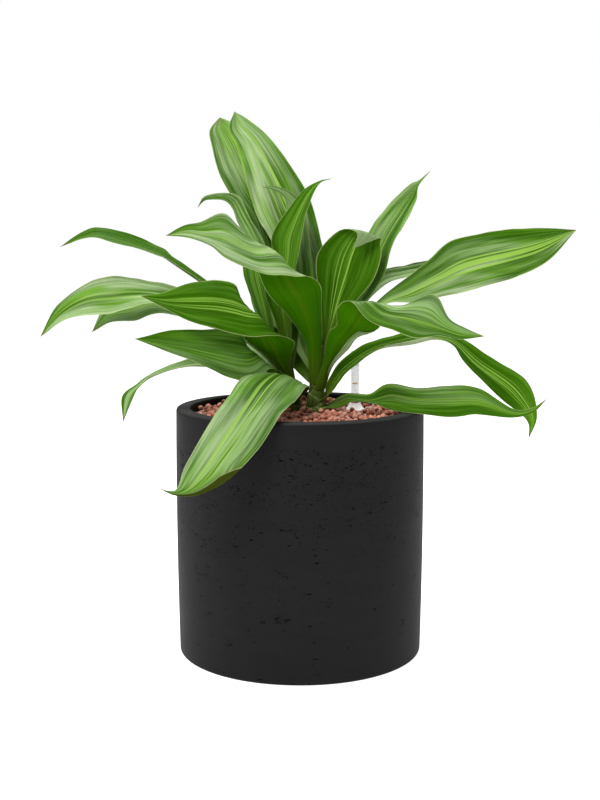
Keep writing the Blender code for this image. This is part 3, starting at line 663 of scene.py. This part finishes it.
def upper_paint():
    """The upper face: glossy green with darker threads and lime streaks, and painted sheen in long pale
    patches.

    Bands, threads and hairs are noises stretched along the blade, each finer than the one before. The
    painted sheen is a weighted sum of three such noises; it hides the threads and brings out pale hairs as
    painted highlights. Where the painted light is low, the bands and threads are darker, as painted shade.
    """
    paint = Paint("leaf_upper_face", Specular_IOR_Level=0.20, Specular_Tint=LEAF_SHEEN)
    across, along, run, streaks, lime, painted_light, dry, width, _ = leaf_grain(paint)
    bands, threads, hairs = streaks(1.8, 8, 2), streaks(9, 11, 2), streaks(25, 14, 2)
    patches = streaks(1.3, 9, 2) * 0.56 + streaks(5, 14, 2) * 0.26 + streaks(20, 20, 2) * 0.18
    # Painted sheen: pale patches that stand for glossy highlights on the blade
    painted_sheen = (paint.step(patches, 0.42, 0.60) * 0.86 + 0.03) * paint.math("MINIMUM", painted_light, 1.0)
    # Painted light and shade: the green bands are lighter where the painted light is high and darker where
    # it is low
    light = paint.step(bands, 0.40, 0.62) * (painted_light * 0.55 + 0.45)
    colour = paint.mix(light, (0.026, 0.108, 0.0004), (0.130, 0.330, 0.018))
    colour = paint.mix(paint.step(threads, 0.50, 0.70) * 0.24, colour, (0.18, 0.37, 0.040))
    colour = paint.mix(painted_sheen, colour, (0.46, 0.58, 0.33))
    # Dark threads of the blade's own, stronger as painted shade where the painted light is low
    dark = paint.step(threads, 0.49, 0.34) * (0.85 - painted_light * 0.6)
    colour = paint.mix(dark, colour, (0.024, 0.088, 0.0005))
    fine = paint.step(width, 0.005, 0.014) * 0.32
    colour = paint.mix(paint.step(hairs, 0.48, 0.32) * fine, colour, (0.022, 0.085, 0.0006))
    # Pale hairs where the painted light is high, as painted highlights
    colour = paint.mix(paint.step(hairs, 0.54, 0.72) * fine * painted_light, colour, (0.42, 0.60, 0.24))
    colour = paint.mix(lime * 0.80, colour, (0.35, 0.60, 0.090))
    paint.put("Roughness", 0.54 + threads * 0.14 - painted_light * 0.20)
    return finish_leaf(paint, colour, across, along, run, threads, hairs, dry, width)


def under_paint():
    """The under face: matter and evener, with a brownish midrib, and pale or olive on some leaves."""
    paint = Paint("leaf_under_face", Specular_IOR_Level=0.08, Specular_Tint=LEAF_SHEEN)
    across, along, run, streaks, lime, _, dry, width, pale = leaf_grain(paint)
    threads, hairs = streaks(9, 6, 2), streaks(44, 12, 1)
    colour = paint.mix(threads, (0.020, 0.100, 0.0003), (0.050, 0.175, 0.0008))
    colour = paint.mix(lime * 0.3, colour, (0.15, 0.31, 0.010))
    rib = paint.step(paint.math("ABSOLUTE", across), 0.060, 0.015)
    colour = paint.mix(rib * 0.6, colour, (0.085, 0.105, 0.004))
    colour = paint.mix(pale * (paint.step(threads, 0.35, 0.6) * 0.3 + 0.5), colour, (0.52, 0.60, 0.36))
    olive = paint.mix(threads, (0.014, 0.024, 0.0015), (0.055, 0.065, 0.006))
    colour = paint.mix(paint.step(pale, 0.0, -1.0), colour, olive)
    paint.put("Roughness", 0.55 + threads * 0.10)
    return finish_leaf(paint, colour, across, along, run, threads, hairs, dry, width)


def add_pot():
    """The planter: a turned profile with rounded edges, whose side swells as a parabola of its height."""
    bore = POT_RADIUS - POT_WALL
    lip = 1.5 * MM
    edge = 3 * MM
    cove = 4 * MM
    profile = [(AXIS, POT_FLOOR), (bore - cove, POT_FLOOR)]
    profile += arc(bore - cove, POT_FLOOR + cove, cove, -90, 0, 5)
    profile += arc(bore + lip, POT_HEIGHT - lip, lip, 180, 90, 6)
    profile += arc(POT_RADIUS - edge, POT_HEIGHT - edge, edge, 90, 0, 8)
    share = np.linspace(0.04, 0.96, 24)
    side = POT_RADIUS + (POT_FOOT_RADIUS - POT_RADIUS) * share + POT_BELLY * 4 * share * (1 - share)
    profile += list(zip(side, POT_HEIGHT - edge - share * (POT_HEIGHT - 2 * edge)))
    profile += arc(POT_FOOT_RADIUS - edge, edge, edge, 0, -90, 8)
    profile += [(AXIS, 0)]
    paint = pot_paint()
    points, faces = turned(profile, 192)
    return add_piece("planter_shell", points, faces, paint, BODY, ["pot"], 50)


def pot_paint():
    """Matt anthracite fibre-clay: faint clouds, a smooth band under the rim, and pits below it.

    Three sizes of pits lie at the centres of a random share of flattened cells, with outlines bent by a
    noise. Larger ones are the peaks of a flattened noise, and a few thin cracks are level lines of
    another. All crowd together in patches, more so in the upper half.
    """
    paint = Paint("fibre_clay_finish", Specular_IOR_Level=0.09)
    place = paint.place()
    height = Value(paint, paint.node("ShaderNodeSeparateXYZ", None, {0: place}).socket.node.outputs["Z"])
    clouds = paint.noise(place, 9, 5, 0.6)
    streaks = paint.noise(paint.place((1, 1, 5)), 22, 4, 0.6)
    grain = paint.noise(place, 420, 3, 0.6)
    flat = paint.place((1, 1, 2.6))
    patches = paint.noise(paint.place((1, 1, 1.5)), 15, 3)
    bent = paint.noise(flat, 300, 2) - 0.5
    band = paint.step(height, *PIT_LIMIT)
    crowd = (paint.step(patches, 0.36, 0.64) * 0.3 + 0.7) * (paint.step(height, 0.02, 0.19) * 0.8 + 0.2)
    holes = paint.step(paint.noise(flat, 150, 2) + crowd * 0.04, 0.725, 0.740)
    line = paint.math("ABSOLUTE", paint.noise(flat, 60, 3, 0.6) - 0.5)
    rare = paint.step(paint.noise(paint.place((1, 1, 1.8)), 32, 2) + crowd * 0.04, 0.66, 0.69)
    holes = paint.math("MAXIMUM", holes, paint.step(line, 0.020, 0.008) * rare)
    for scale, largest, least in PITS:
        distance, chance = paint.cells(flat, scale)
        size = paint.step(chance + crowd * 0.5, least, 1.5) * largest
        holes = paint.math("MAXIMUM", holes, paint.step(distance + bent * 0.3, size + 0.02, size - 0.02))
    holes = holes * band
    base = paint.mix(clouds * 0.6 + streaks * 0.4, (0.0020, 0.0020, 0.0020), (0.0125, 0.0125, 0.0127))
    base = paint.mix(grain * 0.3, base, (0.015, 0.015, 0.0153))
    # Painted highlight: the top of the rim is lighter, as if lit from above
    base = paint.mix(paint.step(height, *RIM_TOP_HIGHLIGHT), base, (0.030, 0.030, 0.030))
    paint.put("Base Color", paint.mix(holes * 0.95, base, (0.0004, 0.0004, 0.0004)))
    paint.put("Roughness", 0.55 + clouds * 0.2 + holes * 0.25)
    paint.bump(grain * 0.10 + clouds * 0.2 - holes, 0.0009, 0.8)
    return paint


def pebble_places(seed, pitch, level, small, large, share):
    """Centres and radii of one layer of pebbles, in millimetres.

    They are points of a hexagonal grid, each moved a little at random, of which a share is kept. Those
    at the planter's wall, in a cane or in the gauge are dropped.
    """
    rng = np.random.default_rng(seed)
    reach = int(BED_RADIUS / MM / pitch) + 2
    i, j = np.meshgrid(np.arange(-2 * reach, 2 * reach), np.arange(-reach, reach))
    x = (i + (j % 2) / 2) * pitch + rng.uniform(-PEBBLE_STRAY, PEBBLE_STRAY, i.shape)
    y = j * pitch * math.sqrt(3) / 2 + rng.uniform(-PEBBLE_STRAY, PEBBLE_STRAY, i.shape)
    z = BED_LEVEL / MM + level + rng.uniform(-PEBBLE_STEP, PEBBLE_STEP, i.shape)
    radius = rng.uniform(small, large, i.shape)
    keep = np.hypot(x, y) < BED_RADIUS / MM - radius - 0.1
    keep &= rng.uniform(0, 1, i.shape) < share
    for point, _ in CANES.values():
        keep &= np.hypot(x - point[0], y - point[1]) > CANE_CLEAR + radius * PEBBLE_SINK
    gauge_x, gauge_y = GAUGE_AXIS / MM
    keep &= np.hypot(x - gauge_x, y - gauge_y) > GAUGE_CLEAR + radius * PEBBLE_SINK
    return np.stack((x, y, z, radius), axis=-1)[keep]


def add_pebbles(name, places, rings, segments, paint, depth):
    """Clay pebbles: each a small sphere of latitude rings, dented, squashed and turned at random.

    A point is (ball * dent * stretch) turned, times the radius, plus the centre. The attribute holds two
    chances for the colour, and the height on the pebble, from -1 to 1, less the depth of the layer; the
    paint turns low values into painted shade.
    """
    rng = np.random.default_rng(8)
    count = len(places)
    theta = np.linspace(0, math.pi, rings + 2)[1:-1, None]
    phi = np.linspace(0, math.tau, segments, endpoint=False)
    ball = np.stack(np.broadcast_arrays(np.sin(theta) * np.cos(phi), np.sin(theta) * np.sin(phi),
                                        np.cos(theta)), axis=-1).reshape(-1, 3)
    ball = np.vstack(([(0, 0, 1)], ball, [(0, 0, -1)]))
    dents = 1 + rng.uniform(-0.04, 0.04, (count, len(ball), 1))
    stretch = rng.uniform(0.84, 1.10, (count, 1, 3))
    turns, _ = np.linalg.qr(rng.normal(size=(count, 3, 3)))
    turns *= np.sign(np.linalg.det(turns))[:, None, None]
    points = (ball * dents * stretch) @ turns
    tall = points[..., 2:] - depth
    points = points * places[:, None, 3:] + places[:, None, :3]
    last = len(ball) - 1
    j = np.arange(segments)
    ahead = (j + 1) % segments
    top = np.stack((np.zeros_like(j), 1 + j, 1 + ahead), axis=-1)
    foot = np.stack((np.full_like(j, last), last - segments + ahead, last - segments + j), axis=-1)
    sides = ring_faces(rings, segments) + 1
    start = np.arange(count)[:, None, None] * len(ball)
    caps = (np.concatenate((top, foot)) + start).reshape(-1, 3)
    quads = (sides + start).reshape(-1, 4)
    piece = add_piece(name, points.reshape(-1, 3) * MM, [*caps.tolist(), *quads.tolist()], paint, BODY,
                      ["pebble_bed"])
    chances = np.broadcast_to(rng.uniform(0, 1, (count, 1, 2)), (*tall.shape[:2], 2))
    set_attribute(piece.data, "shade", np.concatenate((chances, tall), axis=-1))
    return piece


def pebble_paint():
    """Fired clay: red-brown, some pebbles paler, greyer or darker, with fine pores, and painted shade that
    darkens each pebble from its top down and the deeper layers most.
    """
    paint = Paint("fired_clay", Roughness=0.75, Specular_IOR_Level=0.35)
    red, grey, tall = paint.attribute("shade")
    pores = paint.noise(paint.place(), 900, 3, 0.6)
    colour = paint.mix(red, (0.52, 0.165, 0.095), (0.90, 0.41, 0.29))
    colour = paint.mix(paint.step(grey, 0.84, 0.95) * 0.7, colour, (0.66, 0.46, 0.42))
    colour = paint.mix(paint.step(grey, 0.14, 0.04) * 0.7, colour, (0.15, 0.060, 0.045))
    colour = paint.mix(paint.step(pores, 0.5, 0.65) * 0.5, colour, (0.26, 0.085, 0.052))
    # Painted shade: each pebble darkens towards its foot, and the deeper layers darken more
    paint.put("Base Color", paint.mix(paint.step(tall, 0.75, -0.55) * 0.93, colour, (0.030, 0.011, 0.008)))
    paint.bump(pores, 0.0006, 0.6)
    return paint


def add_bed_core():
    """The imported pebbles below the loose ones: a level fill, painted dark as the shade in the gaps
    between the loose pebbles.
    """
    top = BED_LEVEL - 3 * MM
    foot = POT_FLOOR + 0.3 * MM
    profile = [(AXIS, top), (BED_RADIUS - 3 * MM, top), (BED_RADIUS, top - 2 * MM),
               (BED_RADIUS, foot), (AXIS, foot)]
    paint = Paint("clay_shade", Roughness=0.95, Specular_IOR_Level=0.1)
    speck = paint.noise(paint.place(), 160, 3, 0.6)
    # Painted shade: the fill is nearly black, for the shade between the pebbles above it
    paint.put("Base Color", paint.mix(speck, (0.008, 0.004, 0.003), (0.045, 0.018, 0.012)))
    points, faces = turned(profile, 96)
    return add_piece("pebble_fill", points, faces, paint, BODY, ["pebble_bed"], 40)


def add_cane(cane, paint):
    """A cane along its leaning axis, wrapped in the sheaths of its leaves.

    A point is the axis at its height plus the radius outwards, with five low ribs. Each sheath ends in
    a slanted edge, a cosine highest at one compass angle, and the cane is thinner above it. The
    attribute holds a chance for the sheath and how far below its edge a point lies, in millimetres.
    """
    axis_point, way = CANES[cane]
    heights = np.linspace(CANE_PROFILE[0][0], CANE_PROFILE[-1][0], 220)
    known, radii = zip(*CANE_PROFILE)
    angle = np.linspace(0, math.tau, CANE_SIDES, endpoint=False)
    radius = np.interp(heights, known, radii)[:, None] - CANE_BARE + 0.12 * np.sin(5 * angle)
    sheath = np.zeros((len(heights), CANE_SIDES, 3))
    sheath[..., 1] = NO_SHEATH
    for number, (edge, slant, turn) in enumerate(SHEATHS[cane][::-1]):
        rim = edge + slant * np.cos(angle - math.radians(turn)) + 0.5 * np.sin(3 * angle + number)
        below = rim - heights[:, None]
        radius = radius + SHEATH_THICK * smooth_step(below, 0, 0.5)
        sheath[..., 0] = np.where(below > 0, (0.29 + 0.37 * number) % 1, sheath[..., 0])
        sheath[..., 1] = np.where(below > 0, below, sheath[..., 1])
    centre = axis_point + way * ((heights - CANE_LEVEL) / way[2])[:, None]
    round_ = np.stack((np.cos(angle), np.sin(angle), np.zeros_like(angle)), axis=-1)
    points = centre[:, None] + round_ * radius[..., None]
    foot, tip = centre[0], centre[-1] + (0, 0, 1)
    points = np.vstack((points.reshape(-1, 3), [foot, tip]))
    j = np.arange(CANE_SIDES)
    ahead = (j + 1) % CANE_SIDES
    last = len(points) - 1
    start = last - 1 - CANE_SIDES
    ends = np.concatenate((np.stack((np.full(CANE_SIDES, last - 1), ahead, j), axis=-1),
                           np.stack((np.full(CANE_SIDES, last), start + j, start + ahead), axis=-1)))
    sides = ring_faces(len(heights), CANE_SIDES)[:, ::-1]
    piece = add_piece(f"stem_{cane}", points * MM, [*ends.tolist(), *sides.tolist()], paint, BODY,
                      [f"cane_{cane}"], 60)
    set_attribute(piece.data, "sheath", np.vstack((sheath.reshape(-1, 3), np.zeros((2, 3)))))
    return piece


def add_cut_sheath(paint):
    """The stub of a cut leaf at the foot of the second cane: a short ring, open at its top."""
    centre = np.array(CUT_SHEATH_PLACE) * MM
    points, faces = turned(np.array(CUT_SHEATH_PROFILE) * MM, 40, centre)
    piece = add_piece("cut_sheath", points, faces, paint, BODY, ["cane_b"], 50)
    below = np.broadcast_to((0.4, 0.1, 0), points.shape).copy()
    below[:, 1] = CUT_SHEATH_TOP - points[:, 2] / MM
    set_attribute(piece.data, "sheath", below)
    return piece


def cane_paint():
    """Green sheaths, each of its own tone, with streaks along them, a paler rim and a few dry specks."""
    paint = Paint("green_bark", Roughness=0.6, Specular_IOR_Level=0.2)
    tone, below, _ = paint.attribute("sheath")
    streaks = paint.noise(paint.place((1, 1, 0.12)), 420, 3)
    colour = paint.mix(tone, (0.018, 0.042, 0.002), (0.062, 0.110, 0.006))
    colour = paint.mix(paint.step(streaks, 0.45, 0.65) * 0.5, colour, (0.100, 0.140, 0.018))
    colour = paint.mix(paint.step(below, 6.0, 0.5) * 0.30, colour, (0.15, 0.21, 0.035))
    colour = paint.mix(paint.step(below, 0.75, 0.35) * 0.7, colour, (0.40, 0.42, 0.17))
    specks = paint.noise(paint.place((1, 1, 0.5)), 260, 3, 0.6)
    paint.put("Base Color", paint.mix(paint.step(specks, 0.62, 0.70) * 0.7, colour, DRY_COLOUR))
    paint.bump(streaks, 0.0004, 0.5)
    return paint


def speckled_paint(name, scale, first, second, **constants):
    """A paint that wanders between two close colours, by a noise of so many waves in a metre."""
    paint = Paint(name, **constants)
    wander = paint.noise(paint.place(), scale, 2)
    paint.put("Base Color", paint.mix(wander, first, second))
    return paint


def add_tube():
    """The gauge's clear tube: a thin wall under a flat cap, open at its foot."""
    clear = speckled_paint("clear_plastic", 60, (0.50, 0.50, 0.53), (0.58, 0.58, 0.61),
                           Roughness=0.12, Alpha=0.2)
    cap = 1.2 * MM
    edge = 0.6 * MM
    profile = [(AXIS, TUBE_TOP), (TUBE_RADIUS - edge, TUBE_TOP), (TUBE_RADIUS, TUBE_TOP - edge),
               (TUBE_RADIUS, TUBE_FOOT), (TUBE_BORE, TUBE_FOOT), (TUBE_BORE, TUBE_TOP - cap),
               (AXIS, TUBE_TOP - cap)]
    points, faces = turned(profile, 64, GAUGE_AXIS)
    return add_piece("gauge_glass", points, faces, clear, BODY, ["gauge_tube"], 40)


def add_skirt():
    """The gauge's frosted skirt: a thin wall that flares from a collar, by a power of the way down."""
    frosted = speckled_paint("frosted_plastic", 160, (0.94, 0.94, 0.97), (0.99, 0.99, 1.0),
                             Roughness=0.25, Alpha=0.97)
    # Painted light: the skirt glows a little, though it is no lamp, to look as bright as lit frosted
    # plastic
    frosted.put("Emission Color", (1.0, 1.0, 1.0))
    frosted.put("Emission Strength", 0.22)
    frosted.glow_through((1.0, 1.0, 1.0), 0.15)
    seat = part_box("gauge_skirt")[0][2]
    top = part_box("gauge_skirt")[1][2]
    wide = 11 * MM
    collar = 6 * MM
    wall = 0.8 * MM
    bore = TUBE_RADIUS + 0.3 * MM
    brim = top - 1 * MM
    shoulder = 242 * MM
    flare = np.linspace(0, 1, 10)
    drop = brim - (brim - shoulder) * flare
    reach = collar + (wide - collar) * flare**1.6
    profile = [(bore, top), (collar - 0.3 * MM, top)]
    profile += list(zip(reach, drop))
    profile += [(wide, seat), (wide - wall, seat)]
    profile += list(zip(reach[::-1] - wall, drop[::-1] - wall))
    profile += [(bore, top - 2 * MM)]
    points, faces = turned(profile, 64, GAUGE_AXIS)
    return add_piece("gauge_flare", points, faces, frosted, BODY, ["gauge_skirt"], 40)


def add_slider():
    """What rises in the gauge: a red tip with a rounded top, a thin rod, and the float at its foot."""
    red = speckled_paint("red_plastic", 500, (0.50, 0.012, 0.015), (0.62, 0.03, 0.03), Roughness=0.35)
    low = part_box("gauge_float")[0][2]
    wide = 3.2 * MM
    edge = 0.8 * MM
    rod = 1.0 * MM
    tip_foot = TIP_TOP - 12 * MM
    float_top = low + 60 * MM
    profile = [(AXIS, TIP_TOP)] + arc(wide - edge, TIP_TOP - edge, edge, 90, 0, 5)
    profile += [(wide, tip_foot), (rod, tip_foot), (rod, float_top), (wide, float_top), (wide, low)]
    profile += [(AXIS, low)]
    points, faces = turned(profile, 32, GAUGE_AXIS)
    return add_piece("gauge_slider", points, faces, red, FLOAT_BODY, ["gauge_float"], 40)


def add_marks():
    """The two yellow bars of the gauge's scale."""
    yellow = speckled_paint("yellow_mark", 700, (0.88, 0.60, 0.08), (0.95, 0.70, 0.15), Roughness=0.5)
    for number, height in enumerate(SCALE_BARS):
        points, faces = bent_bar(height, 1.5 * MM, math.radians(68))
        add_piece(f"gauge_mark_{number}", points, faces, yellow, BODY, [], 40)


def bent_bar(height, tall, spread):
    """A thin bar bent round the front of the tube: a ring of four corners at each angle, capped."""
    angle = np.linspace(-math.pi / 2 - spread / 2, -math.pi / 2 + spread / 2, 12)
    inner, outer = TUBE_RADIUS + 0.02 * MM, TUBE_RADIUS + 0.12 * MM
    radius = np.array((outer, outer, inner, inner))
    z = height + np.array((-tall, tall, tall, -tall)) / 2
    x = GAUGE_AXIS[0] + np.cos(angle)[:, None] * radius
    y = GAUGE_AXIS[1] + np.sin(angle)[:, None] * radius
    points = np.stack(np.broadcast_arrays(x, y, z), axis=-1).reshape(-1, 3)
    last = len(points) - 4
    faces = ring_faces(len(angle), 4).tolist()
    return points, [*faces, [0, 1, 2, 3], [last + 3, last + 2, last + 1, last]]


def add_light(name, place, size, power):
    """A square soft light that looks at LIT_POINT."""
    data = bpy.data.lights.new(name, "AREA")
    data.size = size
    data.energy = power
    lamp = bpy.data.objects.new(name, data)
    bpy.context.scene.collection.objects.link(lamp)
    lamp.location = place
    away = np.array(place, float) - np.array(LIT_POINT, float)
    flat = math.hypot(away[0], away[1])
    lamp.rotation_euler = (math.atan2(flat, away[2]), 0, math.atan2(away[1], away[0]) + math.pi / 2)
    return lamp


def add_floor():
    """A pale floor that glows a little."""
    paint = Paint("pale_floor", Roughness=0.9, Specular_IOR_Level=0.0)
    paint.put("Base Color", (0.9, 0.9, 0.9))
    paint.put("Emission Color", (1, 1, 1))
    paint.put("Emission Strength", 0.85)
    mesh = bpy.data.meshes.new("floor")
    reach = 12
    mesh.from_pydata([(-reach, -reach, 0), (reach, -reach, 0), (reach, reach, 0), (-reach, reach, 0)], [],
                     [(0, 1, 2, 3)])
    mesh.materials.append(paint.material)
    floor = bpy.data.objects.new("floor", mesh)
    bpy.context.scene.collection.objects.link(floor)


def add_surround():
    """A surround that is white to the camera and dimmer as a light."""
    world = bpy.data.worlds.new("studio")
    world.use_nodes = True
    tree = world.node_tree
    dim = tree.nodes["Background"]
    dim.inputs["Strength"].default_value = 0.25
    white = tree.nodes.new("ShaderNodeBackground")
    white.inputs["Strength"].default_value = 1.0
    for sky in (dim, white):
        sky.inputs["Color"].default_value = (1, 1, 1, 1)
    rays = tree.nodes.new("ShaderNodeLightPath")
    both = tree.nodes.new("ShaderNodeMixShader")
    tree.links.new(rays.outputs["Is Camera Ray"], both.inputs[0])
    tree.links.new(dim.outputs[0], both.inputs[1])
    tree.links.new(white.outputs[0], both.inputs[2])
    tree.links.new(both.outputs[0], tree.nodes["World Output"].inputs["Surface"])
    bpy.context.scene.world = world
    bpy.context.scene.view_settings.view_transform = "Standard"


def add_camera():
    """The photograph's camera."""
    data = bpy.data.cameras.new("camera")
    data.sensor_width = 36
    data.lens = CAMERA_LENS
    camera = bpy.data.objects.new("camera", data)
    bpy.context.scene.collection.objects.link(camera)
    camera.location = CAMERA_PLACE
    camera.rotation_euler = (math.pi / 2 - CAMERA_TILT, 0, 0)
    bpy.context.scene.camera = camera


def main():
    """Set up the studio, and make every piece."""
    add_camera()
    add_floor()
    add_surround()
    for name, settings in LIGHTS.items():
        add_light(name, *settings)
    add_pot()
    add_bed_core()
    clay = pebble_paint()
    for name, (layer, rings, segments, depth) in PEBBLE_LAYERS.items():
        add_pebbles(name, pebble_places(*layer), rings, segments, clay, depth)
    bark = cane_paint()
    for cane in CANES:
        add_cane(cane, bark)
    add_cut_sheath(bark)
    above, below = upper_paint(), under_paint()
    for leaf in LEAVES:
        add_leaf(leaf, above, below)
    add_tube()
    add_skirt()
    add_slider()
    add_marks()


main()
